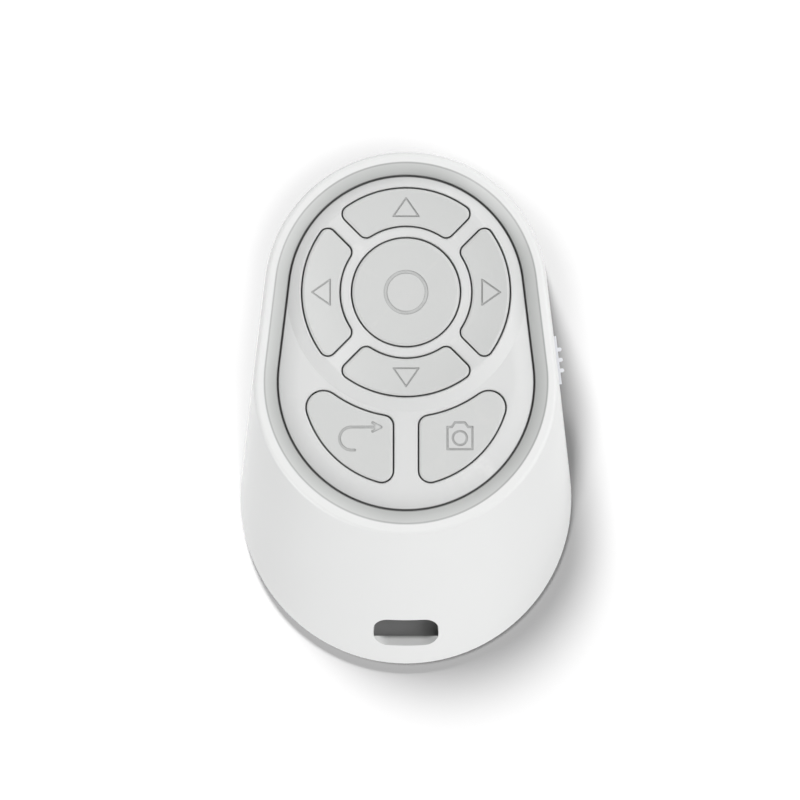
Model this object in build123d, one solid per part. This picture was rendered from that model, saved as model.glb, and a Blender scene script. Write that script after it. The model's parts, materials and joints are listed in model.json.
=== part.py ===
from build123d import *
import os
from math import asin, atan2, cos, degrees, hypot, radians, sin, sqrt

# A pocket remote with seven buttons in an egg-shaped case.
# Everything is in millimetres. The face with the buttons looks up (+Z), the small rounded head of
# the case is towards +Y, the larger foot towards -Y, and z = 0 is the table that it lies on.

# Outer form: every level is an egg, a head arc and a foot arc joined by straight flanks. An
# upright band at the bottom carries the leaning skirt
length = 58.0
height = 16.0
head_r = 16.0
foot_r = 18.8
rim_tail = 15.55
rim_round = 0.55
rim_inner_round = 0.15
base_round = 0.5
band = 1.2

# Shell
wall = 1.7
rim_width = 1.1
gutter_width = 1.5
gutter_depth = 1.1
lip_t = 0.8
cover_edge = 1.0
cover_t = 1.6
cover_gap = 0.15
cover_end = 8.8

# Keypad plate
plate_gap = 0.2
flange_t = 0.8
flange_gap = 0.15
pad_shift = 0.15
dish_margin = 0.74
crest_inset = 0.05
crest_rise = 0.6
crest_round = 0.6
crest_skirt = 1.7

# Buttons, sized to the middle of the gap round them
button_gap = 0.17
hole_round = 0.15
centre_r = 6.16
web = 1.3
dial_margin = 1.6
diagonals = (45.0, 135.0)
diagonal_web = 1.75
arc_corner = 0.95
lower_band = 2.33
lower_web = 2.84
lower_margin = 2.85
lower_corners = (1.35, 1.2, 1.95)
button_proud = 0.28
centre_dish = 0.12
button_round = 0.25
centre_round = 0.3
button_lip = 0.35
button_lip_t = 0.6
button_play = 0.05
button_wall = 1.0
button_roof = 1.1
pocket_corner = 0.3
stem_r = 1.2
lower_stem_x = 5.9

# Engraved symbols. The two lower ones are placed from their buttons' stems
engraving = 0.12
triangle_margin = 1.15
triangle_depth = 2.05
triangle_half = 1.43
triangle_line = 0.2
ring_symbol_r = 2.32
ring_symbol_line = 0.42
arrow_shift = (-0.32, 0.03)
arrow_turn_r = 1.3
arrow_shaft = 3.39
arrow_tail = 0.4
arrow_head = (0.95, 0.49)
arrow_line = 0.32
camera_shift = (0.19, 0.08)
camera_size = (2.82, 2.51)
camera_hump = (1.12, 0.52, 0.35)
camera_lens_r = 0.79
camera_line = 0.26

# Push switches on the board
push_width = 4.5
push_height = 1.4
push_floor = 0.4
push_cavity_r = 1.7
push_cover_t = 0.15
push_hole_gap = 0.15
plunger_r = 1.0
plunger_foot_r = 1.5
plunger_proud = 0.75
plunger_play = 0.02
dome_r = 1.6
dome_rise = 0.42
dome_t = 0.08
terminal_size = (0.5, 0.7, 0.15)
terminal_offset = 1.5

# Board and its parts, which are placed from the middle of the centre button
board_t = 1.0
board_gap = 0.35
board_hole_gap = 0.2
post_r = 1.2
post_margin = 0.3
foot_post_inset = 4.0
post_bore_spare = 0.5
board_screw_r = 0.5
board_screw_length = 4.0
board_screw_head = (1.1, 0.6)
thread_gap = 0.05
chip_size = (4.0, 4.0, 0.85)
chip_place = (-5.5, -6.35)
crystal_size = (3.2, 2.5, 0.7)
crystal_place = (5.4, -5.75)
crystal_lid_step = 0.25
antenna_size = (3.2, 1.6, 1.1)
antenna_place = (-5.2, 10.05)
led_size = (1.6, 0.8, 0.3)
led_lens = (1.1, 0.8, 0.35)
led_place = (0.0, -4.95)
capacitor_size = (0.5, 1.0, 0.5)
capacitor_count = 6
capacitor_pitch = 1.1
capacitor_place = (-9.0, -10.85)

# Power switch on the right flank, measured from the knob's middle
knob_below_dial = 7.7
knob_above_lever = 1.1
knob_length = 5.5
knob_width = 2.6
knob_proud = 0.3
rib_proud = 0.75
rib_pitch = 1.2
rib_thick = 0.45
rib_count = 3
knob_travel = 2.0
knob_gap = 0.2
knob_flange_t = 0.8
knob_flange_rim = 0.6
slider_length = 8.0
slider_depth = 3.0
slider_height = 2.0
slider_base_t = 0.4
slider_skin = 0.2
slider_gap = 0.5
slider_play = 0.1
lever_width = 1.2
lever_thick = 1.0
lever_foot_width = 2.8
lever_foot_depth = 1.6

# Coin cell and contacts
cell_r = 10.0
cell_t = 3.2
cell_from_head = 26.0
cell_lift = 0.15
can_skin = 0.3
gasket_t = 0.6
gasket_gap = 0.05
cap_rise = 0.2
contact_space = 0.85
contact_t = 0.2
contact_width = 3.0
contact_touch = 0.03
leaf_points = ((-6.5, 0.0), (-2.6, 0.0), (-0.8, 1.0), (1.0, 1.0), (2.2, 0.55))
positive_reach = 2.2
positive_door_gap = 0.5

# Battery door
door_floor = 1.2
door_gap = 0.15
door_cell_gap = 0.35
door_ring_t = 0.65
door_ring_rise = 0.15
lug_reach = 1.2
lug_t = 0.8
lug_lift = 0.05
lug_half_angle = 12.0
lug_count = 3
door_turn = 40.0
notch_gap_angle = 1.5
stop_gap_angle = 2.0
stop_half_angle = 3.0
collar_gap = 0.4
collar_t = 1.0
collar_screw_gap = 0.4
coin_slot = (13.0, 1.8, 0.7)

# Hooks that hold the cover's head end, by their angles round the head
hook_angles = (65.0, 115.0)
hook_half_angle = 8.0
hook_gap_angle = 1.0
hook_gap = 0.1
hook_t = 1.0
hook_rise = 2.0
hook_nose = (0.6, 0.8)

# Cover screws at the foot, inset from the case's edge, and their bosses
cover_screw_angle = -25.5
cover_screw_inset = 4.85
boss_r = 2.2
boss_roof = 0.35
cover_screw_r = 0.8
cover_screw_length = 3.2
cover_screw_head = (1.6, 0.7)
cover_screw_sink = 0.15
cover_screw_gap = 0.2
# The cross recess, as shares of the head's radius and thickness
cross_length = 1.5
cross_width = 0.35
cross_depth = 0.4

# Lanyard slot through the skirt, and the way out underneath
slot_width = 7.5
slot_height = 4.15
slot_corner = 1.7
slot_from_end = 3.5
slot_wall = 1.6
slot_taper = 8.0
exit_length = 2.4
exit_gap = 0.1
tunnel_floor = 1.4
tunnel_wall = 1.2
tunnel_roof = 0.65

# Places that follow from the sizes above: the egg, and the dial of buttons in its head
head_y = length / 2 - head_r
foot_y = foot_r - length / 2
flare = (foot_r - head_r) / (head_y - foot_y)
lean = degrees(asin(flare))
pad_y = head_y + pad_shift
plate_inset = rim_width + gutter_width
arc_r = head_r - plate_inset - dial_margin

# The rim, whose foot end lies a tail's length below the dial, and the skirt
rim_end_y = pad_y - arc_r - rim_tail
rim_foot_y = (rim_end_y + head_r + head_y * flare) / (1 + flare)
rim_foot_r = head_r + (head_y - rim_foot_y) * flare
skirt_run = rim_end_y + length / 2
skirt_rise = height - band
skirt_slant = hypot(skirt_rise, skirt_run)
far = 2 * length

# The keypad and its buttons
plate_z = height - gutter_depth
lip_z = plate_z - lip_t
plate_under = lip_z - flange_t
arc_middle = (centre_r + web + arc_r) / 2
dish_r = centre_r + dish_margin
crest_r = arc_r - crest_inset
crest_foot_r = arc_r + crest_skirt
lower_inner_r = arc_r + lower_band
lower_outer_r = rim_foot_r - plate_inset - lower_margin
lower_top_y = pad_y - sqrt(lower_inner_r**2 - lower_stem_x**2)
lower_end_y = rim_foot_y - sqrt(lower_outer_r**2 - lower_stem_x**2)
lower_stem_y = (lower_top_y + lower_end_y) / 2
lip_top = plate_under - button_play
triangle_tip = arc_r - triangle_margin
triangle_base = triangle_tip - triangle_depth

# The cell, the board over it and the push switches
cell_y = length / 2 - cell_from_head
cell_z = door_floor + cell_lift
cell_top = cell_z + cell_t
board_z = cell_top + contact_space
board_top = board_z + board_t
push_top = board_top + push_height + push_cover_t
plunger_top = push_top + plunger_proud
post_reach = head_r - wall - post_r - post_margin
post_bore_top = board_z + board_screw_length + post_bore_spare

# The battery door and the cover
door_r = cell_r + door_cell_gap + door_ring_t
lug_angles = [90 + 360 / lug_count * count for count in range(lug_count)]
lug_z = cover_t + lug_lift
lug_top = lug_z + lug_t
door_ring_z = lug_top + door_ring_rise
collar_r = door_r + lug_reach + collar_gap
collar_z = board_z - board_screw_head[1] - collar_screw_gap
cover_end_y = cover_end - length / 2
hook_r = head_r - wall - hook_gap
hook_z = cover_t + hook_rise
head_seat = cover_screw_sink + cover_screw_head[1]
cover_screw_tip = head_seat + cover_screw_length + cover_screw_gap
boss_top = cover_screw_tip + boss_roof

# The power switch
knob_y = pad_y - knob_below_dial
slider_face = -wall - knob_gap - knob_flange_t - slider_gap
slider_low = board_top + slider_base_t + slider_play
slider_high = board_top + slider_height - slider_skin - slider_play
lever_z = (slider_low + slider_high) / 2
knob_z = lever_z + knob_above_lever
flank_x = (head_r + (head_y - knob_y) * flare) / cos(radians(lean))

# The lanyard slot
slot_y = slot_from_end - length / 2
slot_z = band + skirt_rise * slot_from_end / skirt_run
slot_low_y = slot_y - slot_height / 2 * skirt_run / skirt_slant
slot_taper_loss = slot_wall * sin(radians(slot_taper))
slot_high_y = slot_low_y + slot_height * skirt_run / skirt_slant
chamber_y = slot_low_y + slot_wall * skirt_rise / skirt_slant
exit_y = slot_high_y + exit_gap
tunnel_end_y = exit_y + exit_length
tunnel_top = slot_z + slot_height / 2 * skirt_rise / skirt_slant + tunnel_roof


# Small helpers

def block(low, high):
    size = [b - a for a, b in zip(low, high)]
    middle = [(a + b) / 2 for a, b in zip(low, high)]
    return Pos(*middle) * Box(*size)


def rod(radius, low, high, x=0.0, y=0.0):
    return Pos(x, y, (low + high) / 2) * Cylinder(radius, high - low)


def tube(outer, inner, low, high, x=0.0, y=0.0):
    return rod(outer, low, high, x, y) - rod(inner, low, high, x, y)


def prism(face, low, high):
    # A flat outline drawn on z = 0, made solid between two heights
    return extrude(Pos(0, 0, low) * face, high - low, dir=(0, 0, 1))


def polar(radius, angle):
    return (radius * cos(radians(angle)), radius * sin(radians(angle)))


def sector(inner, outer, middle, half, low, high):
    # A piece of a ring, between two angles in degrees
    start, end = middle - half, middle + half
    outside = ThreePointArc(polar(outer, start), polar(outer, middle), polar(outer, end))
    inside = ThreePointArc(polar(inner, end), polar(inner, middle), polar(inner, start))
    sides = [Line(outside @ 1, inside @ 0), Line(inside @ 1, outside @ 0)]
    return prism(make_face([outside, sides[0], inside, sides[1]]), low, high)


def stroke(start, end, line):
    # A drawn line with round ends
    start, end = Vector(*start), Vector(*end)
    middle, along = (start + end) / 2, end - start
    turn = degrees(atan2(along.Y, along.X))
    return Pos(middle.X, middle.Y) * Rot(0, 0, turn) * SlotCenterToCenter(along.length, line)


def strokes(points, line):
    drawn = Sketch()
    for start, end in zip(points, points[1:]):
        drawn += stroke(start, end, line)
    return drawn


# The egg outlines of the case

def egg(top_r, low_y, low_r):
    tilt = asin((low_r - top_r) / (head_y - low_y))
    top = (top_r * cos(tilt), head_y + top_r * sin(tilt))
    low = (low_r * cos(tilt), low_y + low_r * sin(tilt))
    left_top, left_low = (-top[0], top[1]), (-low[0], low[1])
    edges = [
        ThreePointArc(left_top, (0, head_y + top_r), top),
        Line(top, low),
        ThreePointArc(low, (0, low_y - low_r), left_low),
        Line(left_low, left_top),
    ]
    return make_face(edges)


def outline(z, inset=0.0):
    # The case's outline at height z, drawn in by inset
    share = max(z - band, 0) / (height - band)
    low_y = foot_y + (rim_foot_y - foot_y) * share
    low_r = foot_r + (rim_foot_r - foot_r) * share
    return egg(head_r - inset, low_y, low_r - inset)


def rim_outline(inset):
    return outline(height, inset)


def shell_form(low, high, inset):
    # The leaning form of the case between two heights above the band
    faces = [Pos(0, 0, z) * outline(z, inset) for z in (low, high)]
    return loft(faces, ruled=True)


# The flank's own frame: x out of the wall, y along it towards the head, at the knob

flank = Pos(flank_x, knob_y, 0) * Rot(0, 0, lean)

# The skirt's own frame at the lanyard slot: z out of the skirt, x across the case

skirt_plane = Plane(origin=(0, slot_y, slot_z), x_dir=(1, 0, 0), z_dir=(0, -skirt_rise, skirt_run))

# Where the screws of the cover and the board's posts stand

screw_x, screw_y = polar(foot_r - cover_screw_inset, cover_screw_angle)
screw_places = [(side * screw_x, foot_y + screw_y) for side in (-1, 1)]
post_places = [(0, rim_end_y + foot_post_inset)]
for post_angle in diagonals:
    post_x, post_y = polar(post_reach, post_angle)
    post_places.append((post_x, pad_y + post_y))


# Outlines of the buttons. Grow widens an outline past the middle of its gap

def centre_outline(grow):
    return Pos(0, pad_y) * Circle(centre_r + grow)


def arc_outline(turn, grow, corner):
    # A direction button: the far quarter of a ring that is cut along both diagonals
    ring = Circle(arc_r + grow) - Circle(centre_r + web - grow)
    for angle in diagonals:
        ring -= Rot(0, 0, angle) * Rectangle(far, diagonal_web - 2 * grow)
    quarter = Sketch() + ring.faces().sort_by(Axis.Y)[-1]
    return Pos(0, pad_y) * Rot(0, 0, turn) * fillet(quarter.vertices(), corner)


def lower_outline(side, grow, corners):
    # A lower button: inside the plate's foot arc, outside the dish, beside the middle web
    disc = Pos(0, rim_foot_y) * Circle(lower_outer_r + grow)
    dish = Pos(0, pad_y) * Circle(lower_inner_r - grow)
    beside = Pos(lower_web / 2 - grow, 0) * Rectangle(far, far, align=(Align.MIN, Align.CENTER))
    face = ((disc & beside) - dish).faces().sort_by(Axis.Y)[0]
    bottom, top, tip = sorted_corners(face)
    for corner, radius in zip((bottom, top, tip), corners):
        nearest = face.vertices().sort_by_distance(corner)[0]
        face = fillet(nearest, radius)
    return mirror(face, Plane.YZ) if side < 0 else face


def sorted_corners(face):
    corners = [Vector(v.X, v.Y, v.Z) for v in face.vertices()]
    tip = max(corners, key=lambda v: v.X)
    bottom = min(corners, key=lambda v: v.Y)
    top = [v for v in corners if v is not tip and v is not bottom][0]
    return bottom, top, tip


def button_outline(name, grow, pocket=False):
    if name == "centre":
        return centre_outline(grow)
    if name in arc_turns:
        return arc_outline(arc_turns[name], grow, pocket_corner if pocket else arc_corner + grow)
    corners = [pocket_corner if pocket else corner + grow for corner in lower_corners]
    return lower_outline(lower_sides[name], grow, corners)


arc_turns = {"up": 0, "left": 90, "down": 180, "right": 270}
lower_sides = {"return": -1, "camera": 1}
stem_places = {"centre": (0, pad_y)}
for arc_name, arc_turn in arc_turns.items():
    arc_x, arc_y = polar(arc_middle, arc_turn + 90)
    stem_places[arc_name] = (arc_x, pad_y + arc_y)
for lower_name, lower_side in lower_sides.items():
    stem_places[lower_name] = (lower_side * lower_stem_x, lower_stem_y)


def keypad_relief(lift):
    # Everything under the keypad's surface: a dish, its crest, and the level plate round it
    level, crest = plate_z + lift, plate_z + crest_rise + lift
    bowl_r = ((crest_r - dish_r) ** 2 + crest_rise**2) / (2 * crest_rise)
    half = asin((crest_r - dish_r) / bowl_r) / 2
    bowl_middle = (dish_r + bowl_r * sin(half), level + bowl_r * (1 - cos(half)))
    bowl = ThreePointArc((dish_r, level), bowl_middle, (crest_r, crest))
    rest = Polyline(
        (crest_r, crest), (crest_foot_r, level), (far, level), (far, 0), (0, 0), (0, level), (dish_r, level)
    )
    section = make_face([bowl, rest])
    corner = section.vertices().sort_by_distance((crest_r, crest))[0]
    section = fillet(corner, crest_round)
    return Pos(0, pad_y) * revolve(Plane.XZ * section, Axis.Z)


# Symbols

def symbol(name):
    if name == "centre":
        ring = Circle(ring_symbol_r + ring_symbol_line / 2) - Circle(ring_symbol_r - ring_symbol_line / 2)
        return Pos(0, pad_y) * ring
    if name in arc_turns:
        tip, left, right = (0, triangle_tip), (-triangle_half, triangle_base), (triangle_half, triangle_base)
        return Pos(0, pad_y) * Rot(0, 0, arc_turns[name]) * strokes([tip, left, right, tip], triangle_line)
    return arrow_symbol() if name == "return" else camera_symbol()


def arrow_symbol():
    # A shaft that ends in an arrowhead and turns back under itself
    turn = Circle(arrow_turn_r + arrow_line / 2) - Circle(arrow_turn_r - arrow_line / 2)
    turn &= Rectangle(far, far, align=(Align.MAX, Align.CENTER))
    tip = (arrow_shaft, arrow_turn_r)
    drawn = Sketch() + turn
    drawn += stroke((0, arrow_turn_r), tip, arrow_line)
    drawn += stroke((0, -arrow_turn_r), (arrow_tail, -arrow_turn_r), arrow_line)
    for side in (-1, 1):
        drawn += stroke((tip[0] - arrow_head[0], tip[1] + side * arrow_head[1]), tip, arrow_line)
    return Pos(*stem_places["return"]) * Pos(*arrow_shift) * drawn


def camera_symbol():
    # A camera's outline with a finder hump and a lens ring
    half_x, half_y = camera_size[0] / 2, camera_size[1] / 2
    hump, rise, slope = camera_hump[0] / 2, camera_hump[1], camera_hump[2]
    points = [
        (-half_x, -half_y), (half_x, -half_y), (half_x, half_y), (hump + slope, half_y),
        (hump, half_y + rise), (-hump, half_y + rise), (-hump - slope, half_y), (-half_x, half_y),
        (-half_x, -half_y),
    ]
    lens = Circle(camera_lens_r + camera_line / 2) - Circle(camera_lens_r - camera_line / 2)
    return Pos(*stem_places["camera"]) * Pos(*camera_shift) * (strokes(points, camera_line) + lens)


# Case

def lanyard_tunnel():
    # In through the skirt, square to it, inwards over the tunnel's floor, and out underneath
    mouth = RectangleRounded(slot_width, slot_height, slot_corner)
    way_in = extrude(skirt_plane * mouth, -slot_wall - exit_length, taper=slot_taper)
    way_out = extrude(skirt_plane * mouth, tunnel_wall)
    half = slot_width / 2
    chamber = block((-half, chamber_y, tunnel_floor), (half, tunnel_end_y, slot_z - slot_wall / 2))
    chamber += block((-half, exit_y, -tunnel_floor), (half, tunnel_end_y, tunnel_floor))
    ceiling = skirt_plane * block((-far, -far, -far), (far, slot_height / 2 - slot_taper_loss, far))
    above_floor = block((-far, -far, tunnel_floor), (far, far, far))
    return (way_in & above_floor) + way_out + (chamber & ceiling)


def outer_form():
    # The band and the skirt in one, with the rim's step and the gutter cut into the top
    form = prism(outline(0), 0, band) + shell_form(band, height, 0)
    form = fillet(form.edges().group_by(Axis.Z)[-1], rim_round)
    form = fillet(form.edges().group_by(Axis.Z)[0], base_round)
    levels = ((height, rim_width), (plate_z, plate_inset))
    gutter = loft([Pos(0, 0, z) * rim_outline(inset) for z, inset in levels], ruled=True)
    form = form - gutter - prism(rim_outline(plate_inset), lip_z, plate_z)
    land = form.faces().sort_by(Axis.Z)[-1]
    return fillet(land.inner_wires()[0].edges(), rim_inner_round)


def cover_outline(gap):
    # What the bottom cover fills, or with no gap the recess that takes it
    level = prism(outline(cover_t, cover_edge + gap), 0, cover_t)
    return level & block((-far, cover_end_y + gap, 0), (far, far, cover_t))


def hook_recess(angle):
    half = hook_half_angle + hook_gap_angle
    reach = hook_r + hook_gap + hook_nose[0] + hook_gap
    low = hook_z - hook_nose[1] - hook_gap
    return Pos(0, head_y) * sector(hook_r, reach, angle, half, low, hook_z + hook_gap)


def upper_shell():
    hollow = shell_form(cover_t, lip_z, wall)
    tower_half = slot_width / 2 + tunnel_wall
    tower_end_y = tunnel_end_y + tunnel_wall
    hollow -= block((-tower_half, -length, 0), (tower_half, tower_end_y, tunnel_top))
    for x, y in screw_places:
        hollow -= rod(boss_r, cover_t, boss_top, x, y)
    shell = outer_form() - cover_outline(0) - hollow - lanyard_tunnel() - switch_window()
    for x, y in screw_places:
        shell -= rod(cover_screw_r + thread_gap, cover_t, cover_screw_tip, x, y)
    for angle in hook_angles:
        shell -= hook_recess(angle)
    return shell


def keypad_plate():
    top = plate_z + crest_rise
    plate = prism(rim_outline(plate_inset + plate_gap), plate_under, top) & keypad_relief(0)
    plate += prism(outline(lip_z, wall + flange_gap), plate_under, lip_z)
    for x, y in post_places:
        plate += rod(post_r, board_top, plate_under, x, y)
        plate -= rod(board_screw_r + thread_gap, board_top, post_bore_top, x, y)
    for name in stem_places:
        hole = prism(button_outline(name, button_gap / 2), plate_under, top)
        cut = plate - hole
        upper = [edge for edge in new_edges(plate, hole, combined=cut) if edge.center().Z > lip_z]
        plate = fillet(upper, hole_round)
    return plate


def bottom_cover():
    # Round the door it has a collar, notches that let the door's lugs in, and stops for them
    cover = cover_outline(cover_gap) + tube(collar_r + collar_t, collar_r, cover_t, collar_z, y=cell_y)
    cover -= rod(door_r + door_gap, 0, cover_t, y=cell_y)
    notch_r = door_r + lug_reach + collar_gap / 2
    notch_half = lug_half_angle + notch_gap_angle
    beside = lug_half_angle + stop_gap_angle + stop_half_angle
    for angle in lug_angles:
        unlocked = angle - door_turn
        cover -= Pos(0, cell_y) * sector(door_r - door_ring_t, notch_r, unlocked, notch_half, 0, cover_t)
        for middle in (angle + beside, unlocked - beside):
            stop = sector(door_r + lug_reach / 2, collar_r, middle, stop_half_angle, cover_t, lug_top)
            cover += Pos(0, cell_y) * stop
    for x, y in screw_places:
        cover -= rod(cover_screw_r + cover_screw_gap, 0, cover_t, x, y)
        cover -= rod(cover_screw_head[0] + cover_screw_gap, 0, head_seat, x, y)
    for angle in hook_angles:
        cover += cover_hook(angle)
    return cover


def cover_hook(angle):
    # A tongue inside the wall, with a nose that reaches into it
    tongue = sector(hook_r - hook_t, hook_r, angle, hook_half_angle, cover_t, hook_z)
    reach = hook_r + hook_gap + hook_nose[0]
    nose = sector(hook_r - hook_t, reach, angle, hook_half_angle, hook_z - hook_nose[1], hook_z)
    return Pos(0, head_y) * (tongue + nose)


def battery_door():
    door = rod(door_r, 0, door_floor, y=cell_y)
    door += tube(door_r, cell_r + door_cell_gap, door_floor, door_ring_z, y=cell_y)
    for angle in lug_angles:
        lug = sector(door_r - door_ring_t / 2, door_r + lug_reach, angle, lug_half_angle, lug_z, lug_top)
        door += Pos(0, cell_y) * lug
    slot = Pos(0, cell_y) * SlotOverall(coin_slot[0], coin_slot[1])
    return door - prism(slot, 0, coin_slot[2])


def cover_screws():
    return [turned_screw(cover_screw_r, cover_screw_head, cover_screw_sink, cover_screw_length, x, y)
            for x, y in screw_places]


def board_screws():
    low = board_z - board_screw_head[1]
    return [turned_screw(board_screw_r, board_screw_head, low, board_screw_length, x, y)
            for x, y in post_places]


def turned_screw(radius, head, low, shank, x, y):
    # A pan head with a cross recess, its shank pointing up
    pan_r, pan_t = head
    screw = rod(pan_r, low, low + pan_t, x, y) + rod(radius, low + pan_t, low + pan_t + shank, x, y)
    for turn in (0, 90):
        arm = Box(pan_r * cross_length, pan_r * cross_width, 2 * pan_t * cross_depth)
        screw -= Pos(x, y, low) * Rot(0, 0, turn) * arm
    return screw


# Buttons

def button(name):
    level = keypad_relief(button_proud)
    cap = prism(button_outline(name, -button_gap / 2), lip_top, height) & level
    if name == "centre":
        bowl_r = (centre_r**2 + centre_dish**2) / (2 * centre_dish)
        cap -= Pos(0, pad_y, plate_z + button_proud - centre_dish + bowl_r) * Sphere(bowl_r)
    engraved = prism(symbol(name), plate_z - engraving, height) - Pos(0, 0, -engraving) * cap
    rounding = centre_round if name == "centre" else button_round
    cap = fillet(top_edges(cap), rounding)
    cap -= engraved
    cap += prism(button_outline(name, button_lip), lip_top - button_lip_t, lip_top)
    roof = plate_z + button_proud - button_roof
    pocket = prism(button_outline(name, -button_wall, pocket=True), lip_top - button_lip_t, roof)
    x, y = stem_places[name]
    cap -= pocket
    return cap + rod(stem_r, plunger_top, roof, x, y)


def top_edges(cap):
    # The rim of a cap's upper face, which holds no upright edges
    upright = cap.edges().filter_by(Axis.Z)
    floor = cap.edges().filter_by_position(Axis.Z, lip_top, lip_top)
    return [edge for edge in cap.edges() if edge not in upright and edge not in floor]


# Power switch, drawn in the flank's frame and turned to the flank

def along_flank(low, high):
    return flank * block(low, high)


def switch_window():
    reach = knob_length / 2 + knob_gap
    half = knob_width / 2 + knob_gap
    return along_flank((-wall - knob_gap, -reach, knob_z - half), (wall, reach + knob_travel, knob_z + half))


def power_switch_knob():
    half, tall = knob_length / 2, knob_width / 2
    inner = -wall - knob_gap
    back = inner - knob_flange_t
    knob = block((inner, -half, knob_z - tall), (knob_proud, half, knob_z + tall))
    for count in range(rib_count):
        y = (count - (rib_count - 1) / 2) * rib_pitch
        nose = rib_proud - rib_thick / 2
        rib = block((0, y - rib_thick / 2, knob_z - tall), (nose, y + rib_thick / 2, knob_z + tall))
        knob += rib + rod(rib_thick / 2, knob_z - tall, knob_z + tall, nose, y)
    reach = half + knob_gap + knob_travel + knob_flange_rim
    tall += knob_gap + knob_flange_rim
    knob += block((back, -reach, knob_z - tall), (inner, reach, knob_z + tall))
    play = slider_play / 2
    socket = block((back, -lever_width / 2 - play, lever_z - lever_thick / 2 - play),
                   (inner, lever_width / 2 + play, lever_z + lever_thick / 2 + play))
    return flank * (knob - socket)


def slider_box(grow, low, high):
    # The switch's own body, grown or drawn in sideways
    middle = knob_travel / 2
    return block((slider_face - slider_depth - grow, middle - slider_length / 2 - grow, low),
                 (slider_face + grow, middle + slider_length / 2 + grow, high))


def slide_switch_base():
    return flank * slider_box(-slider_skin - gasket_gap, board_top, board_top + slider_base_t)


def slide_switch_shell():
    shell = slider_box(0, board_top, board_top + slider_height)
    shell -= slider_box(-slider_skin, board_top, board_top + slider_height - slider_skin)
    reach = lever_width / 2 + slider_play
    shell -= block((slider_face - slider_depth / 2, -reach, lever_z - lever_thick / 2 - slider_play),
                   (slider_face, reach + knob_travel, lever_z + lever_thick / 2 + slider_play))
    return flank * shell


def slide_switch_lever():
    back = slider_face - slider_depth + slider_skin + slider_play
    foot = block((back, -lever_foot_width / 2, slider_low),
                 (back + lever_foot_depth, lever_foot_width / 2, slider_high))
    arm = block((back, -lever_width / 2, lever_z - lever_thick / 2),
                (-wall - knob_gap - slider_play / 2, lever_width / 2, lever_z + lever_thick / 2))
    return flank * (foot + arm)


# Board

def main_board():
    board = prism(rim_outline(wall + board_gap), board_z, board_top)
    for x, y in post_places:
        board -= rod(board_screw_r + board_hole_gap, board_z, board_top, x, y)
    return board


def chip_on_board(size, place):
    return Pos(place[0], pad_y + place[1], board_top + size[2] / 2) * Box(*size)


def crystal():
    can = chip_on_board(crystal_size, crystal_place)
    rim = [side - 2 * crystal_lid_step for side in crystal_size[:2]]
    lid = chip_on_board((rim[0], rim[1], crystal_size[2] + crystal_lid_step), crystal_place)
    return can + lid


def status_led():
    base = chip_on_board(led_size, led_place)
    return base + Pos(0, 0, led_size[2]) * chip_on_board(led_lens, led_place)


def board_capacitors():
    x, y = capacitor_place
    places = [(x + count * capacitor_pitch, y) for count in range(capacitor_count)]
    return [chip_on_board(capacitor_size, place) for place in places]


# A push switch at one place on the board

def push_housing(x, y):
    body = Pos(x, y, board_top + push_height / 2) * Box(push_width, push_width, push_height)
    return body - rod(push_cavity_r, board_top + push_floor, board_top + push_height, x, y)


def push_cover(x, y):
    plate = Pos(x, y, push_top - push_cover_t / 2) * Box(push_width, push_width, push_cover_t)
    return plate - rod(plunger_r + push_hole_gap, push_top - push_cover_t, push_top, x, y)


def push_plunger(x, y):
    foot_low = board_top + push_floor + dome_rise + plunger_play
    foot_high = push_top - push_cover_t - plunger_play
    return rod(plunger_foot_r, foot_low, foot_high, x, y) + rod(plunger_r, foot_low, plunger_top, x, y)


def push_dome(x, y):
    floor = board_top + push_floor
    outer_r = (dome_r**2 + dome_rise**2) / (2 * dome_rise)
    inner_r = outer_r - dome_t
    centre_z = floor + dome_rise - outer_r
    dome = Pos(x, y, centre_z) * Sphere(outer_r) - Pos(x, y, centre_z) * Sphere(inner_r)
    return dome & rod(dome_r, floor, floor + dome_rise, x, y)


def switch_terminals():
    # Two solder feet on each side of every push switch
    legs = []
    for x, y in stem_places.values():
        for side in (-1, 1):
            for shift in (-terminal_offset, terminal_offset):
                middle_x = x + side * (push_width + terminal_size[0]) / 2
                legs.append(chip_on_board(terminal_size, (middle_x, y + shift - pad_y)))
    return legs


# Coin cell and its contacts

def cell_can():
    can = rod(cell_r, cell_z, cell_top - cap_rise, y=cell_y)
    return can - rod(cell_r - can_skin, cell_z + can_skin, cell_top, y=cell_y)


def cell_gasket():
    outer = cell_r - can_skin - gasket_gap
    return tube(outer, outer - gasket_t, cell_z + can_skin, cell_top - cap_rise, y=cell_y)


def cell_cap():
    return rod(cell_r - can_skin - gasket_t - 2 * gasket_gap, cell_z + can_skin, cell_top, y=cell_y)


def negative_contact():
    # A leaf that bows down from the board to the middle of the cell
    drop = contact_space - contact_t - contact_touch
    upper = [(cell_y + y, board_z - share * drop) for y, share in leaf_points]
    lower = [(y, z - contact_t) for y, z in reversed(upper)]
    section = make_face(Polyline(*upper, *lower, close=True))
    return Pos(-contact_width / 2, 0, 0) * extrude(Plane.YZ * section, contact_width)


def positive_contact():
    # A foot on the board and a leaf down the side of the can
    near, half = cell_y + cell_r + contact_touch, contact_width / 2
    foot = block((-half, near, board_z - contact_t), (half, near + positive_reach, board_z))
    leaf = block((-half, near, door_ring_z + positive_door_gap), (half, near + contact_t, board_z))
    return foot + leaf


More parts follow.
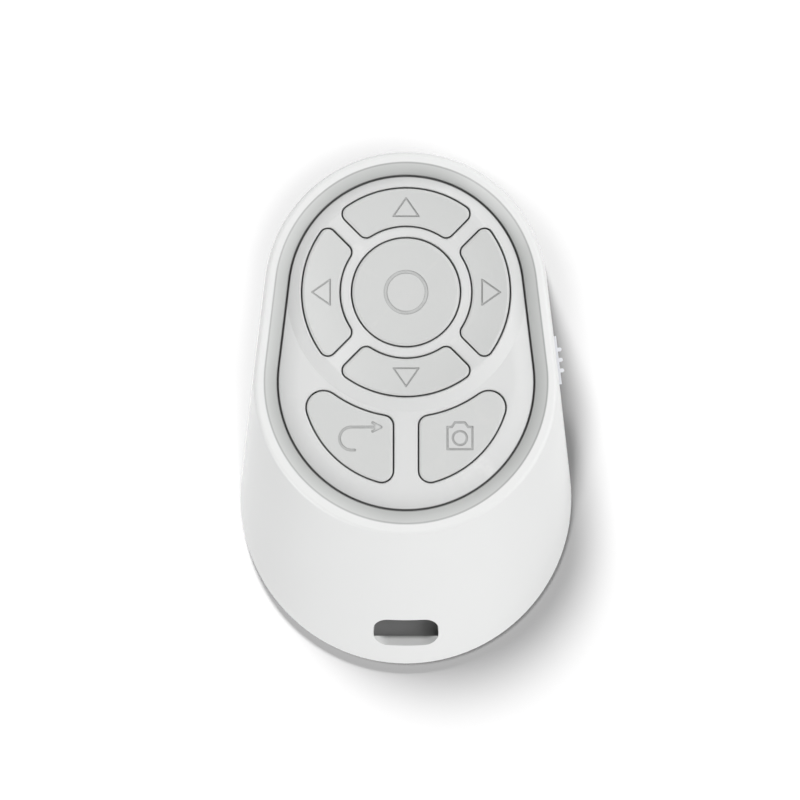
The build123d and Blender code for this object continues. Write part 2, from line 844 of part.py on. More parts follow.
pieces = {
    "upper_shell": upper_shell(),
    "keypad_plate": keypad_plate(),
    "bottom_cover": bottom_cover(),
    "battery_door": battery_door(),
    "cover_screws": cover_screws(),
    "main_board": main_board(),
    "board_screws": board_screws(),
    "bluetooth_chip": chip_on_board(chip_size, chip_place),
    "crystal": crystal(),
    "chip_antenna": chip_on_board(antenna_size, antenna_place),
    "status_led": status_led(),
    "board_capacitors": board_capacitors(),
    "switch_terminals": switch_terminals(),
    "cell_can": cell_can(),
    "cell_gasket": cell_gasket(),
    "cell_cap": cell_cap(),
    "positive_contact": positive_contact(),
    "negative_contact": negative_contact(),
    "power_switch_knob": power_switch_knob(),
    "slide_switch_base": slide_switch_base(),
    "slide_switch_shell": slide_switch_shell(),
    "slide_switch_lever": slide_switch_lever(),
}
for name, (x, y) in stem_places.items():
    pieces[name + "_button"] = button(name)
    pieces[name + "_switch_housing"] = push_housing(x, y)
    pieces[name + "_switch_dome"] = push_dome(x, y)
    pieces[name + "_switch_plunger"] = push_plunger(x, y)
    pieces[name + "_switch_cover"] = push_cover(x, y)

os.makedirs("parts", exist_ok=True)
for name, piece in pieces.items():
    shapes = piece if isinstance(piece, list) else [piece]
    solids = [solid for shape in shapes for solid in shape.solids()]
    export_step(Compound(children=solids), f"parts/{name}.step")
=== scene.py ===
import json
from math import pi, radians

import bpy
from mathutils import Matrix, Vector


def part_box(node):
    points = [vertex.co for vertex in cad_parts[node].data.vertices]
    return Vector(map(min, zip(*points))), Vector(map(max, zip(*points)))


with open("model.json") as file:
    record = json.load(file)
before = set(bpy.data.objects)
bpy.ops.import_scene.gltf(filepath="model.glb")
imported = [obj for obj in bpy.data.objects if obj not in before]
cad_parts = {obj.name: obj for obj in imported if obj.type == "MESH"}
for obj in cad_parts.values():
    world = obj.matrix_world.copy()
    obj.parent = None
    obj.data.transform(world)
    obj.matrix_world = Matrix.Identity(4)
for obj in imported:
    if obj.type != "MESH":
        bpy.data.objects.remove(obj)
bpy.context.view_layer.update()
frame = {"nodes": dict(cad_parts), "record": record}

nodes = frame["nodes"]
mm = 0.001
print("frame loaded:", len(nodes), "pieces")

# The remote lies face up on z = 0, its small round head towards +Y. Objects are in metres, and the
# finishes work in millimetres
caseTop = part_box("upper_shell")[1].z


# Small helpers for node trees

def newMaterial(name):
    material = bpy.data.materials.new(name)
    material.use_nodes = True
    tree = material.node_tree
    tree.nodes.clear()
    shader = tree.nodes.new("ShaderNodeBsdfPrincipled")
    output = tree.nodes.new("ShaderNodeOutputMaterial")
    tree.links.new(shader.outputs["BSDF"], output.inputs["Surface"])
    return material, tree, shader


def put(tree, socket, value):
    # A socket takes a link from another node's output, or a plain value
    if isinstance(value, bpy.types.NodeSocket):
        tree.links.new(value, socket)
    elif socket.type == "RGBA":
        socket.default_value = (*value, 1.0)
    else:
        socket.default_value = value


def fill(tree, node, values):
    for name, value in values.items():
        put(tree, node.inputs[name], value)
    return node


def maths(tree, operation, *values, clamp=False):
    node = tree.nodes.new("ShaderNodeMath")
    node.operation = operation
    node.use_clamp = clamp
    for socket, value in zip(node.inputs, values):
        put(tree, socket, value)
    return node.outputs[0]


def times(tree, product, *others):
    for other in others:
        product = maths(tree, "MULTIPLY", product, other)
    return product


def vectorMaths(tree, operation, *values):
    node = tree.nodes.new("ShaderNodeVectorMath")
    node.operation = operation
    for socket, value in zip(node.inputs, values):
        put(tree, socket, value)
    return node.outputs["Value" if operation in ("LENGTH", "DISTANCE") else "Vector"]


def axes(tree, vector):
    return fill(tree, tree.nodes.new("ShaderNodeSeparateXYZ"), {"Vector": vector}).outputs


def rangeMap(tree, value, fromLow, fromHigh, toLow, toHigh, smooth=False):
    node = tree.nodes.new("ShaderNodeMapRange")
    node.interpolation_type = "SMOOTHSTEP" if smooth else "LINEAR"
    fill(tree, node, {"Value": value, "From Min": fromLow, "From Max": fromHigh,
                      "To Min": toLow, "To Max": toHigh})
    return node.outputs["Result"]


def mixColour(tree, mask, first, second):
    node = tree.nodes.new("ShaderNodeMix")
    node.data_type = "RGBA"
    for name, given in (("Factor_Float", mask), ("A_Color", first), ("B_Color", second)):
        put(tree, next(s for s in node.inputs if s.identifier == name), given)
    return next(s for s in node.outputs if s.identifier == "Result_Color")


def noise(tree, vector, scale, detail=2.0, roughness=0.5):
    node = tree.nodes.new("ShaderNodeTexNoise")
    fill(tree, node, {"Vector": vector, "Scale": scale, "Detail": detail, "Roughness": roughness})
    return node.outputs["Fac"]


def millimetres(tree):
    # The object's own coordinates in millimetres. They ride with the piece
    own = tree.nodes.new("ShaderNodeTexCoord").outputs["Object"]
    return vectorMaths(tree, "MULTIPLY", own, (1 / mm, 1 / mm, 1 / mm))


# Effects that several materials share

def newGroup(name, usual, outputs):
    # The inputs come with their usual values, and every output is a number
    group = bpy.data.node_groups.new(name, "ShaderNodeTree")
    for label, value in usual.items():
        kind = "NodeSocketVector" if isinstance(value, tuple) else "NodeSocketFloat"
        socket = group.interface.new_socket(label, in_out="INPUT", socket_type=kind)
        socket.default_value = value
    for label in outputs:
        group.interface.new_socket(label, in_out="OUTPUT", socket_type="NodeSocketFloat")
    given = group.nodes.new("NodeGroupInput").outputs
    return group, given, group.nodes.new("NodeGroupOutput").inputs


def place(tree, group, **values):
    node = tree.nodes.new("ShaderNodeGroup")
    node.node_tree = group
    return fill(tree, node, values).outputs


flatOnly = (1.0, 1.0, 0.0)  # times a place, this leaves out its height
noiseSpan = (0.3, 0.7)  # nearly all of a noise's values lie in here

grainLook = {
    "usual": {"Grain": 9.0, "Drift": 0.12}, "detail": 3.0, "roughness": 0.6,
    "rubShift": (31.0, 17.0, 5.0), "rubPitch": 3.0, "rubDetail": 4.0, "rubRoughness": 0.65,
}


def mouldGrainGroup():
    # The fine eroded texture that a mould leaves, and slow drift in tone and polish
    look = grainLook
    tree, given, out = newGroup("mouldGrain", look["usual"], ("Height", "Tone", "Polish"))
    where = millimetres(tree)
    put(tree, out["Height"], noise(tree, where, given["Grain"], look["detail"], look["roughness"]))
    put(tree, out["Tone"], noise(tree, where, given["Drift"]))
    shifted = vectorMaths(tree, "ADD", where, look["rubShift"])
    pitch = times(tree, given["Drift"], look["rubPitch"])
    put(tree, out["Polish"], noise(tree, shifted, pitch, look["rubDetail"], look["rubRoughness"]))
    return tree


wearLook = {
    "usual": {"Start": 0.53, "End": 0.62}, "breakPerMm": 1.2, "breakDetail": 4.0,
    "breakFrom": (0.35, 0.65), "breakTo": (0.25, 1.0),
}


def edgeWearGroup():
    # Where handling has polished the outer edges: a mask of sharp convex places, broken up by noise
    look = wearLook
    tree, given, out = newGroup("edgeWear", look["usual"], ("Mask",))
    sharp = tree.nodes.new("ShaderNodeNewGeometry").outputs["Pointiness"]
    edge = rangeMap(tree, sharp, given["Start"], given["End"], 0.0, 1.0)
    patches = noise(tree, millimetres(tree), look["breakPerMm"], look["breakDetail"])
    broken = rangeMap(tree, patches, *look["breakFrom"], *look["breakTo"])
    put(tree, out["Mask"], times(tree, edge, broken))
    return tree


brushedLook = {
    "usual": {"Centre": (0.0, 0.0, 0.0), "Pitch": 12.0, "Spin": 0.0}, "lengthwise": 0.15,
    "detail": 3.0, "roughness": 0.6, "tonePerMm": 0.6,
}


def brushedGroup():
    # Fine parallel scratches in metal. With Spin at 1 they are turned round a centre
    look = brushedLook
    tree, given, out = newGroup("brushed", look["usual"], ("Height", "Tone"))
    where = millimetres(tree)
    x, y, z = axes(tree, where)
    offset = vectorMaths(tree, "SUBTRACT", where, given["Centre"])
    radius = vectorMaths(tree, "LENGTH", vectorMaths(tree, "MULTIPLY", offset, flatOnly))
    straight = times(tree, x, maths(tree, "SUBTRACT", 1.0, given["Spin"]))
    across = maths(tree, "ADD", times(tree, radius, given["Spin"]), straight)
    drawn = fill(tree, tree.nodes.new("ShaderNodeCombineXYZ"), {
        "X": times(tree, across, given["Pitch"]), "Y": times(tree, y, look["lengthwise"])})
    scratch = noise(tree, drawn.outputs[0], 1.0, look["detail"], look["roughness"])
    put(tree, out["Height"], scratch)
    put(tree, out["Tone"], noise(tree, where, look["tonePerMm"]))
    return tree


dustLook = {
    "usual": {"Amount": 0.2}, "facingUp": (0.55, 0.98), "patchPerMm": 0.45, "patchDetail": 5.0,
    "patchRoughness": 0.7, "patchSpan": (0.42, 0.7),
}


def dustGroup():
    # Fine dust that settles on faces that look up, thicker in patches
    look = dustLook
    tree, given, out = newGroup("dust", look["usual"], ("Mask",))
    normal = tree.nodes.new("ShaderNodeNewGeometry").outputs["Normal"]
    up = rangeMap(tree, axes(tree, normal)["Z"], *look["facingUp"], 0.0, 1.0, smooth=True)
    patches = noise(tree, millimetres(tree), look["patchPerMm"], look["patchDetail"],
                    look["patchRoughness"])
    patch = rangeMap(tree, patches, *look["patchSpan"], 0.0, 1.0)
    put(tree, out["Mask"], times(tree, up, patch, given["Amount"]))
    return tree


rimEgg = {"Head Y": 13.0, "Head R": 16.0, "Foot Y": 3.0, "Foot R": 17.2}


def eggInsetGroup():
    # How far inside the rim's egg a point lies, seen from above: a head circle and a foot circle
    # joined by straight flanks. All in millimetres
    tree, given, out = newGroup("eggInset", rimEgg, ("Inset",))
    x, y, z = axes(tree, millimetres(tree))
    across = maths(tree, "ABSOLUTE", x)
    along = maths(tree, "SUBTRACT", y, given["Foot Y"])
    apart = maths(tree, "SUBTRACT", given["Head Y"], given["Foot Y"])
    growth = maths(tree, "SUBTRACT", given["Foot R"], given["Head R"])
    lean = maths(tree, "DIVIDE", growth, apart)
    upright = maths(tree, "SQRT", maths(tree, "SUBTRACT", 1.0, times(tree, lean, lean)))

    def insideCircle(beyond, radius):
        square = maths(tree, "ADD", times(tree, across, across), times(tree, beyond, beyond))
        return maths(tree, "SUBTRACT", radius, maths(tree, "SQRT", square))

    foot = insideCircle(along, given["Foot R"])
    head = insideCircle(maths(tree, "SUBTRACT", along, apart), given["Head R"])
    reach = maths(tree, "ADD", times(tree, across, upright), times(tree, along, lean))
    flank = maths(tree, "SUBTRACT", given["Foot R"], reach)
    climb = maths(tree, "SUBTRACT", times(tree, along, upright), times(tree, across, lean))
    inHead = maths(tree, "GREATER_THAN", climb, times(tree, apart, upright))
    inFoot = maths(tree, "LESS_THAN", climb, 0.0)
    nearest = rangeMap(tree, inHead, 0.0, 1.0, flank, head)
    put(tree, out["Inset"], rangeMap(tree, inFoot, 0.0, 1.0, nearest, foot))
    return tree


mouldGrain = mouldGrainGroup()
edgeWear = edgeWearGroup()
brushed = brushedGroup()
dust = dustGroup()
eggInset = eggInsetGroup()
print("shared shader groups built")


# Materials

def bump(tree, shader, heightMm):
    node = fill(tree, tree.nodes.new("ShaderNodeBump"), {"Distance": mm, "Height": heightMm})
    put(tree, shader.inputs["Normal"], node.outputs["Normal"])


def unevenPolish(tree, pattern, look):
    # A noise spreads the roughness over the finish's range
    return rangeMap(tree, pattern, *noiseSpan, *look["roughness"])


def creviceShade(tree, look, colour):
    # Painted shade in the engraved lines: an occlusion mask darkens the colour where nearby surface
    # of the same piece hems it in
    hidden = tree.nodes.new("ShaderNodeAmbientOcclusion")
    hidden.only_local, hidden.samples = True, look["creviceSamples"]
    put(tree, hidden.inputs["Distance"], look["creviceMm"] * mm)
    creviceShadeMask = rangeMap(tree, hidden.outputs["AO"], *look["creviceOpen"], 1.0, 0.0)
    return mixColour(tree, creviceShadeMask, colour, look["creviceShadeColour"])


def mouldedPlastic(name, look, relief=None):
    # Satin ABS: a fine mould texture, a slow drift of tone, polished edges and a little dust. A
    # relief in millimetres is added to the mould texture where there is one
    material, tree, shader = newMaterial(name)
    grain = place(tree, mouldGrain, Grain=look["grainPerMm"], Drift=look["driftPerMm"])
    worn = place(tree, edgeWear, Start=look["wearStart"], End=look["wearEnd"])["Mask"]
    settled = place(tree, dust, Amount=look["dust"])["Mask"]
    colour = mixColour(tree, grain["Tone"], look["shade"], look["colour"])
    colour = mixColour(tree, times(tree, worn, look["wear"]), colour, look["wornColour"])
    colour = mixColour(tree, settled, colour, look["dustColour"])
    # Painted shade in engraved lines, where the look asks for it
    if "creviceMm" in look:
        colour = creviceShade(tree, look, colour)
    put(tree, shader.inputs["Base Color"], colour)
    rough = unevenPolish(tree, grain["Polish"], look)
    rough = maths(tree, "SUBTRACT", rough, times(tree, worn, look["wearPolish"]))
    rough = maths(tree, "ADD", rough, times(tree, settled, look["dustDulling"]), clamp=True)
    put(tree, shader.inputs["Roughness"], rough)
    put(tree, shader.inputs["IOR"], look["ior"])
    height = times(tree, grain["Height"], look["grainDepthMm"])
    bump(tree, shader, maths(tree, "ADD", height, relief(tree)) if relief else height)
    return material, tree, shader, colour


absLook = {
    "colour": (0.90, 0.905, 0.90), "shade": (0.88, 0.885, 0.88), "roughness": (0.3, 0.38),
    "ior": 1.5, "grainPerMm": 9.0, "driftPerMm": 0.1, "grainDepthMm": 0.0015,
    "wear": 0.4, "wearStart": 0.53, "wearEnd": 0.63, "wearPolish": 0.08,
    "wornColour": (0.92, 0.92, 0.91),
    "dust": 0.05, "dustDulling": 0.4, "dustColour": (0.78, 0.77, 0.75),
}

# Insets are from the rim's egg, and slot depths are from the skirt's face. In millimetres
shellLook = {
    # The gutter, seam and step values set painted shade in the gutter
    **absLook, "gutterFrom": 1.12, "gutterTo": 2.6, "gutterDepth": 1.1, "gutterEdge": 0.1,
    "gutterShadeHigh": (0.70, 0.71, 0.70), "gutterShadeDeep": (0.50, 0.51, 0.50),
    "seamFrom": 2.49, "seamShadeDeep": (0.16, 0.16, 0.16),
    "stepAt": 1.2, "stepHalf": 0.13, "stepShadeTone": (0.47, 0.47, 0.47),
    # The slot values set painted shade in the lanyard slot
    "slotHalf": 3.85, "slotBand": (-27.5, -21.4), "skirtFoot": (-29.0, 1.2),
    "slotLit": 0.82, "slotDark": 1.58, "slotShadeDeep": (0.25, 0.25, 0.25),
}


def gutterShade(tree, look, colour):
    # Painted shade in the gutter inside the rim: it is greyer towards the keypad, with a thin
    # painted shade line at its outer edge and a soft painted dark band next to the parting line
    inset = place(tree, eggInset)["Inset"]
    start, end, edge = look["gutterFrom"], look["gutterTo"], look["gutterEdge"]
    across = rangeMap(tree, inset, start, end, 0.0, 1.0)
    grey = mixColour(tree, across, look["gutterShadeHigh"], look["gutterShadeDeep"])
    seam = rangeMap(tree, inset, look["seamFrom"], end, 0.0, 1.0, smooth=True)
    grey = mixColour(tree, seam, grey, look["seamShadeDeep"])
    fromStep = maths(tree, "ABSOLUTE", maths(tree, "SUBTRACT", inset, look["stepAt"]))
    step = rangeMap(tree, fromStep, 0.0, look["stepHalf"], 1.0, 0.0)
    grey = mixColour(tree, step, grey, look["stepShadeTone"])
    inside = rangeMap(tree, inset, start - edge, start, 0.0, 1.0, smooth=True)
    bottom = caseTop / mm - look["gutterDepth"]
    height = axes(tree, millimetres(tree))["Z"]
    above = rangeMap(tree, height, bottom - edge, bottom - edge / 2, 0.0, 1.0)
    return mixColour(tree, times(tree, inside, above), colour, grey)


def slotShade(tree, look, colour):
    # Painted shade in the lanyard slot: its colour darkens with depth below the skirt, which climbs
    # at 45 degrees from its foot
    x, y, z = axes(tree, millimetres(tree))
    low, high = look["slotBand"]
    footY, footZ = look["skirtFoot"]
    across = maths(tree, "LESS_THAN", maths(tree, "ABSOLUTE", x), look["slotHalf"])
    along = times(tree, maths(tree, "GREATER_THAN", y, low), maths(tree, "LESS_THAN", y, high))
    drop = maths(tree, "SUBTRACT", maths(tree, "ADD", y, footZ - footY), z)
    depth = maths(tree, "DIVIDE", drop, 2 ** 0.5)
    deep = rangeMap(tree, depth, look["slotLit"], look["slotDark"], 0.0, 1.0, smooth=True)
    return mixColour(tree, times(tree, across, along, deep), colour, look["slotShadeDeep"])


def shellMaterial():
    look = shellLook
    material, tree, shader, colour = mouldedPlastic("shellWhite", look)
    # Painted shade in the gutter and in the lanyard slot
    colour = slotShade(tree, look, gutterShade(tree, look, colour))
    put(tree, shader.inputs["Base Color"], colour)
    return material


keypadLook = {
    **absLook, "colour": (0.775, 0.78, 0.775), "shade": (0.75, 0.755, 0.752), "dust": 0.03,
    "borderFrom": 2.75, "borderWidth": 2.4, "borderFall": 0.5,
    # The seam values set a painted shade line along the parting line
    "seamFrom": 2.76, "seamTo": 2.92, "seamShadeColour": (0.3, 0.3, 0.3),
}


def keypadRelief(tree):
    # The plate falls away softly towards its border
    look = keypadLook
    inset = place(tree, eggInset)["Inset"]
    end = look["borderFrom"] + look["borderWidth"]
    near = rangeMap(tree, inset, look["borderFrom"], end, 1.0, 0.0)
    return times(tree, near, near, -look["borderFall"])


def keypadMaterial():
    # Painted shade: the line where the plate's rounded border turns down into the parting line is
    # given a soft grey
    look = keypadLook
    material, tree, shader, colour = mouldedPlastic("keypadWhite", look, keypadRelief)
    inset = place(tree, eggInset)["Inset"]
    seam = rangeMap(tree, inset, look["seamFrom"], look["seamTo"], 1.0, 0.0, smooth=True)
    put(tree, shader.inputs["Base Color"], mixColour(tree, seam, colour, look["seamShadeColour"]))
    return material


buttonLook = {
    **absLook, "colour": (0.69, 0.698, 0.69), "shade": (0.67, 0.678, 0.67),
    "wornColour": (0.72, 0.72, 0.71), "roughness": (0.32, 0.42), "dust": 0.04,
    # The crevice values set the painted shade in the engraved lines
    "grainDepthMm": 0.002, "creviceMm": 0.3, "creviceSamples": 8, "creviceOpen": (0.55, 0.97),
    "creviceShadeColour": (0.47, 0.475, 0.47),
}
coverLook = {
    **absLook, "colour": (0.82, 0.825, 0.82), "shade": (0.79, 0.795, 0.79),
    "roughness": (0.46, 0.55), "grainPerMm": 5.0, "grainDepthMm": 0.006,
}
doorLook = {**coverLook, "colour": (0.81, 0.815, 0.81), "grainPerMm": 5.5}
knobLook = {
    **absLook, "colour": (0.80, 0.81, 0.85), "shade": (0.77, 0.78, 0.82),
    "wornColour": (0.86, 0.87, 0.9), "roughness": (0.34, 0.44),
}
gasketLook = {
    **absLook, "colour": (0.06, 0.06, 0.065), "shade": (0.05, 0.05, 0.055),
    "wornColour": (0.1, 0.1, 0.1), "roughness": (0.45, 0.55),
}
switchLook = {
    **absLook, "colour": (0.035, 0.035, 0.038), "shade": (0.028, 0.028, 0.03),
    "wornColour": (0.09, 0.09, 0.09), "dustColour": (0.2, 0.19, 0.18),
    "roughness": (0.42, 0.52), "grainPerMm": 12.0,
}
plungerLook = {
    **absLook, "colour": (0.33, 0.17, 0.09), "shade": (0.28, 0.14, 0.075),
    "wornColour": (0.42, 0.24, 0.15), "roughness": (0.38, 0.48),
}


def plainMetal(name, look):
    # Sheet metal with brushed or turned scratches and bright worn edges
    material, tree, shader = newMaterial(name)
    lines = place(tree, brushed, Centre=look["centre"], Pitch=look["pitchPerMm"], Spin=look["spin"])
    worn = place(tree, edgeWear, Start=look["wearStart"], End=look["wearEnd"])["Mask"]
    colour = mixColour(tree, lines["Tone"], look["shade"], look["colour"])
    colour = mixColour(tree, times(tree, worn, look["wear"]), colour, look["wornColour"])
    put(tree, shader.inputs["Base Color"], colour)
    put(tree, shader.inputs["Roughness"], unevenPolish(tree, lines["Height"], look))
    put(tree, shader.inputs["Metallic"], 1.0)
    bump(tree, shader, times(tree, lines["Height"], look["scratchMm"]))
    return material


cellLow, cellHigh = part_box("cell_can")
cellMiddle = tuple((cellLow + cellHigh) / 2 / mm)
steelLook = {
    "colour": (0.62, 0.62, 0.61), "shade": (0.52, 0.52, 0.52), "wornColour": (0.78, 0.78, 0.77),
    "wear": 0.6, "wearStart": 0.52, "wearEnd": 0.6, "roughness": (0.24, 0.36),
    "centre": (0.0, 0.0, 0.0), "spin": 0.0, "pitchPerMm": 14.0, "scratchMm": 0.001,
}
cellLook = {
    **steelLook, "centre": cellMiddle, "spin": 1.0, "pitchPerMm": 9.0, "roughness": (0.2, 0.32),
}
screwLook = {
    **steelLook, "colour": (0.5, 0.5, 0.49), "shade": (0.4, 0.4, 0.4), "pitchPerMm": 8.0,
}
contactLook = {
    **steelLook, "colour": (0.66, 0.64, 0.58), "shade": (0.58, 0.56, 0.5),
    "roughness": (0.18, 0.3),
}
tinLook = {
    **steelLook, "colour": (0.7, 0.7, 0.7), "shade": (0.6, 0.6, 0.61), "roughness": (0.28, 0.42),
}
domeLook = {**steelLook, "roughness": (0.16, 0.26), "pitchPerMm": 20.0}
crystalLook = {**steelLook, "colour": (0.72, 0.72, 0.7), "pitchPerMm": 18.0}

boardLook = {
    "mask": (0.012, 0.11, 0.045), "copperMask": (0.03, 0.2, 0.085), "edge": (0.42, 0.36, 0.2),
    "tracePitchMm": 1.7, "traceJitter": 0.55, "traceFold": 0.22, "traceSpan": (0.1, 0.13),
    "traceHeightMm": 0.03, "flatSpan": (0.6, 0.8), "roughness": (0.3, 0.42),
    "grainPerMm": 6.0, "driftPerMm": 0.2, "drift": 0.25,
}


def boardMaterial():
    # Green solder mask over copper traces, with the bare glass laminate on the board's edge
    look = boardLook
    material, tree, shader = newMaterial("boardGreen")
    cells = tree.nodes.new("ShaderNodeTexVoronoi")
    cells.feature, cells.distance = "F1", "MANHATTAN"
    fill(tree, cells, {
        "Vector": vectorMaths(tree, "MULTIPLY", millimetres(tree), flatOnly),
        "Scale": 1.0 / look["tracePitchMm"], "Randomness": look["traceJitter"]})
    ripple = maths(tree, "PINGPONG", cells.outputs["Distance"], look["traceFold"])
    trace = rangeMap(tree, ripple, *look["traceSpan"], 0.0, 1.0)
    normal = tree.nodes.new("ShaderNodeNewGeometry").outputs["Normal"]
    facing = maths(tree, "ABSOLUTE", axes(tree, normal)["Z"])
    flat = rangeMap(tree, facing, *look["flatSpan"], 0.0, 1.0)
    grain = place(tree, mouldGrain, Grain=look["grainPerMm"], Drift=look["driftPerMm"])
    colour = mixColour(tree, trace, look["mask"], look["copperMask"])
    colour = mixColour(tree, times(tree, grain["Tone"], look["drift"]), colour, look["copperMask"])
    put(tree, shader.inputs["Base Color"], mixColour(tree, flat, look["edge"], colour))
    put(tree, shader.inputs["Roughness"], unevenPolish(tree, grain["Polish"], look))
    bump(tree, shader, times(tree, trace, flat, look["traceHeightMm"]))
    return material


chipLook = {
    **switchLook, "colour": (0.025, 0.025, 0.027), "markColour": (0.09, 0.09, 0.09),
    "markRadiusMm": 0.28, "markInsetMm": 0.65, "markCore": 0.85,
}


def chipMaterial():
    # Black epoxy with a shallow round mark beside its first leg
    look = chipLook
    material, tree, shader, colour = mouldedPlastic("chipBlack", look)
    low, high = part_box("bluetooth_chip")
    middle = (low.x / mm + look["markInsetMm"], high.y / mm - look["markInsetMm"], high.z / mm)
    away = vectorMaths(tree, "DISTANCE", millimetres(tree), middle)
    radius = look["markRadiusMm"]
    mark = rangeMap(tree, away, radius, radius * look["markCore"], 0.0, 1.0)
    put(tree, shader.inputs["Base Color"], mixColour(tree, mark, colour, look["markColour"]))
    return material


ceramicLook = {
    **absLook, "colour": (0.46, 0.52, 0.55), "shade": (0.42, 0.48, 0.51),
    "roughness": (0.35, 0.5), "capMm": 0.5, "capBlurMm": 0.01, "capColour": (0.7, 0.7, 0.7),
}
capacitorLook = {
    **ceramicLook, "colour": (0.42, 0.3, 0.19), "shade": (0.36, 0.25, 0.16),
    "roughness": (0.35, 0.48), "capMm": 0.25,
}


def endCapped(name, look, node, axis):
    # A ceramic body with tinned ends, told apart by the distance along one axis
    material, tree, shader, colour = mouldedPlastic(name, look)
    low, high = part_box(node)
    middle, half = (low[axis] + high[axis]) / 2 / mm, (high[axis] - low[axis]) / 2 / mm
    where = axes(tree, millimetres(tree))[axis]
    away = maths(tree, "ABSOLUTE", maths(tree, "SUBTRACT", where, middle))
    start, blur = half - look["capMm"], look["capBlurMm"]
    tinned = rangeMap(tree, away, start - blur, start + blur, 0.0, 1.0)
    put(tree, shader.inputs["Base Color"], mixColour(tree, tinned, colour, look["capColour"]))
    put(tree, shader.inputs["Metallic"], tinned)
    return material


ledLook = {
    "base": (0.8, 0.8, 0.78), "lens": (0.86, 0.84, 0.62), "stain": (0.6, 0.58, 0.45),
    "stainAmount": 0.1, "baseMm": 0.3, "blurMm": 0.02, "roughness": (0.5, 0.18),
    "grainPerMm": 10.0, "grainDepthMm": 0.001,
}


def ledMaterial():
    # A white base with a clear yellowish lens on it
    look = ledLook
    material, tree, shader = newMaterial("ledLens")
    low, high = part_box("status_led")
    step = low.z / mm + look["baseMm"]
    height = axes(tree, millimetres(tree))["Z"]
    lens = rangeMap(tree, height, step, step + look["blurMm"], 0.0, 1.0)
    grain = place(tree, mouldGrain, Grain=look["grainPerMm"])
    colour = mixColour(tree, lens, look["base"], look["lens"])
    stained = times(tree, grain["Tone"], look["stainAmount"])
    put(tree, shader.inputs["Base Color"], mixColour(tree, stained, colour, look["stain"]))
    put(tree, shader.inputs["Roughness"], rangeMap(tree, lens, 0.0, 1.0, *look["roughness"]))
    bump(tree, shader, times(tree, grain["Height"], look["grainDepthMm"]))
    return material


finishes = {
    "shell_white": shellMaterial(),
    "keypad_white": keypadMaterial(),
    "button_grey": mouldedPlastic("buttonGrey", buttonLook)[0],
    "cover_white": mouldedPlastic("coverWhite", coverLook)[0],
    "door_white": mouldedPlastic("doorWhite", doorLook)[0],
    "knob_grey": mouldedPlastic("knobGrey", knobLook)[0],
    "screw_steel": plainMetal("screwSteel", screwLook),
    "board_green": boardMaterial(),
    "chip_black": chipMaterial(),
    "crystal_steel": plainMetal("crystalSteel", crystalLook),
    "antenna_ceramic": endCapped("antennaCeramic", ceramicLook, "chip_antenna", 0),
    "led_lens": ledMaterial(),
    "capacitor_tan": endCapped("capacitorTan", capacitorLook, "board_capacitors", 1),
    "terminal_tin": plainMetal("terminalTin", tinLook),
    "cell_steel": plainMetal("cellSteel", cellLook),
    "gasket_plastic": mouldedPlastic("gasketPlastic", gasketLook)[0],
    "contact_metal": plainMetal("contactMetal", contactLook),
    "switch_black": mouldedPlastic("switchBlack", switchLook)[0],
    "switch_steel": plainMetal("switchSteel", steelLook),
    "dome_steel": plainMetal("domeSteel", domeLook),
    "plunger_brown": mouldedPlastic("plungerBrown", plungerLook)[0],
}

for part in frame["record"]["subparts"]:
    for slot in nodes[part["node"]].material_slots:
        slot.link = "OBJECT"
        slot.material = finishes[part["material_slot"]]


# Floor, light and camera

floorLook = {
    "halfSize": 3.0, "drop": 0.03 * mm, "colour": (0.15, 0.15, 0.15),
    "shade": (0.148, 0.148, 0.148), "driftPerMm": 0.01, "bounced": (0.085, 0.085, 0.085),
    "roughness": 0.9,
}


def paleFloor():
    # A hair below the remote, and clear from underneath, so that the battery door can be looked at.
    # Its mid-dark tone shows white under strong lamps of its own, and light from the remote hardly
    # fills the shadow on it. What it throws back is cut, so that the flanks stand out from it
    look = floorLook
    half = look["halfSize"]
    square = ((-half, -half), (half, -half), (half, half), (-half, half))
    mesh = bpy.data.meshes.new("floor")
    mesh.from_pydata([(x, y, -look["drop"]) for x, y in square], [], [(0, 1, 2, 3)])
    floor = bpy.data.objects.new("floor", mesh)
    bpy.context.scene.collection.objects.link(floor)
    material, tree, shader = newMaterial("floorPale")
    drift = noise(tree, millimetres(tree), look["driftPerMm"])
    tone = mixColour(tree, drift, look["shade"], look["colour"])
    bounced = tree.nodes.new("ShaderNodeLightPath").outputs["Is Diffuse Ray"]
    put(tree, shader.inputs["Base Color"], mixColour(tree, bounced, tone, look["bounced"]))
    put(tree, shader.inputs["Roughness"], look["roughness"])
    put(tree, shader.inputs["Specular IOR Level"], 0.0)
    behind = tree.nodes.new("ShaderNodeNewGeometry").outputs["Backfacing"]
    put(tree, shader.inputs["Alpha"], maths(tree, "SUBTRACT", 1.0, behind))
    mesh.materials.append(material)
    return floor


def gathered(name, pieces):
    collection = bpy.data.collections.new(name)
    for piece in pieces:
        collection.objects.link(piece)
    return collection


remoteOnly = gathered("remoteOnly", nodes.values())
screwsOnly = gathered("screwsOnly", [nodes["cover_screws"]])
floorOnly = gathered("floorOnly", [paleFloor()])

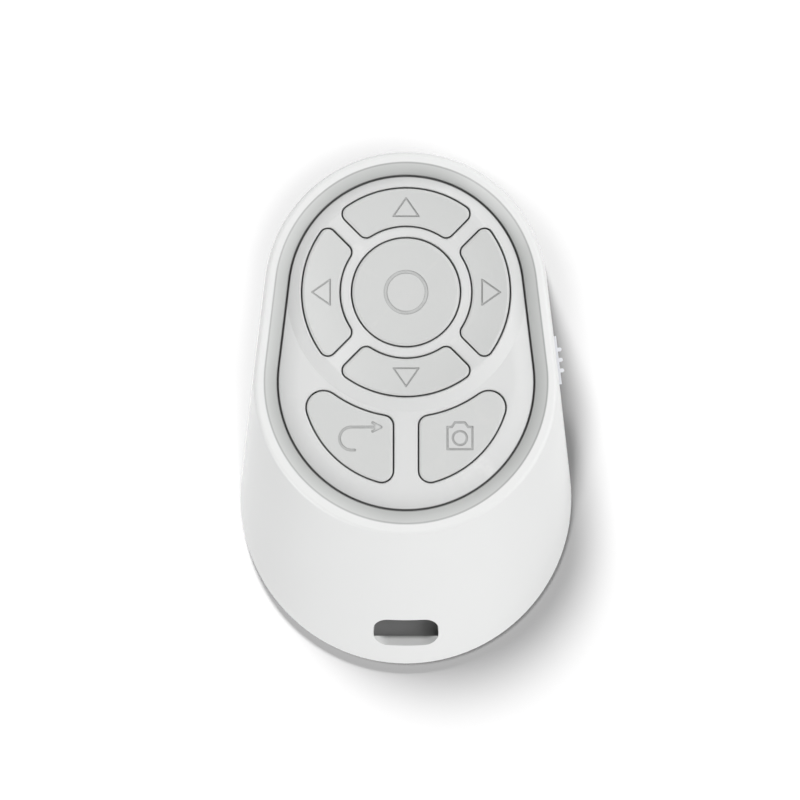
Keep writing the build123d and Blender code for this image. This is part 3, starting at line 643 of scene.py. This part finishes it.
# Far soft boxes: what each lights, which way it stands, how many degrees wide it looks, and how
# bright it makes white paper that faces it. The remote's lamps model its form. The floor's make the
# soft dark edge that the remote stands in
remoteLamps = {
    "above": {"towards": (0.40, 0.16, 0.90), "spread": 40, "level": 0.29},
    "rightSoft": {"towards": (0.74, -0.38, 0.56), "spread": 50, "level": 0.46},
    "topLeft": {"towards": (-0.35, 0.80, 0.48), "spread": 50, "level": 0.36},
    "topRight": {"towards": (0.40, 0.79, 0.46), "spread": 30, "level": 0.15},
    "leftLow": {"towards": (-0.66, -0.66, 0.36), "spread": 40, "level": 0.49},
    "underside": {"towards": (0.0, 0.0, -1.0), "spread": 40, "level": 0.65, "highlights": False},
}
screwLamps = {"screwSheen": {"towards": (0.0, 0.0, -1.0), "spread": 110, "level": 0.7}}
floorLamps = {
    "floorUpper": {"towards": (-0.18, 0.735, 0.645), "spread": 14, "level": 6.30},
    "floorLeft": {"towards": (-0.22, 0.12, 0.97), "spread": 14, "level": 1.50},
    "floorRight": {"towards": (0.11, -0.09, 0.99), "spread": 12, "level": 1.30},
}


def addLamp(name, look, lit):
    light = bpy.data.lights.new(name, "SUN")
    light.angle = radians(look["spread"])
    light.energy = pi * look["level"]
    lamp = bpy.data.objects.new(name, light)
    bpy.context.scene.collection.objects.link(lamp)
    lamp.rotation_euler = Vector(look["towards"]).to_track_quat("Z", "Y").to_euler()
    lamp.light_linking.receiver_collection = lit
    if look["towards"][2] < 0:
        # It shines up through the floor
        lamp.light_linking.blocker_collection = remoteOnly
    # Without highlights a lamp leaves no glancing strip along the flanks
    lamp.visible_glossy = look.get("highlights", True)


for lit, lamps in ((remoteOnly, remoteLamps), (screwsOnly, screwLamps), (floorOnly, floorLamps)):
    for name, look in lamps.items():
        addLamp(name, look, lit)

skyLook = {"Color": (0.985, 0.99, 1.0), "Strength": 0.04}
world = bpy.data.worlds.new("softSky")
world.use_nodes = True
fill(world.node_tree, world.node_tree.nodes["Background"], skyLook)
bpy.context.scene.world = world
bpy.context.scene.view_settings.view_transform = "Standard"
print("floor and", len(remoteLamps) + len(screwLamps) + len(floorLamps), "lamps in place")

# The camera looks straight down, from far enough away that the tall head isn't drawn larger than
# the foot
cameraLook = {
    "middle": (-0.68 * mm, 0.96 * mm), "frameWidth": 90.45 * mm, "distance": 2.5,
    "sensorMm": 36.0, "farthest": 10.0,
}


def addCamera():
    look = cameraLook
    optics = bpy.data.cameras.new("camera")
    optics.sensor_width = look["sensorMm"]
    optics.lens = look["sensorMm"] * look["distance"] / look["frameWidth"]
    optics.clip_end = look["farthest"]
    camera = bpy.data.objects.new("camera", optics)
    bpy.context.scene.collection.objects.link(camera)
    camera.location = (*look["middle"], caseTop + look["distance"])
    bpy.context.scene.camera = camera


addCamera()
print("camera in place")
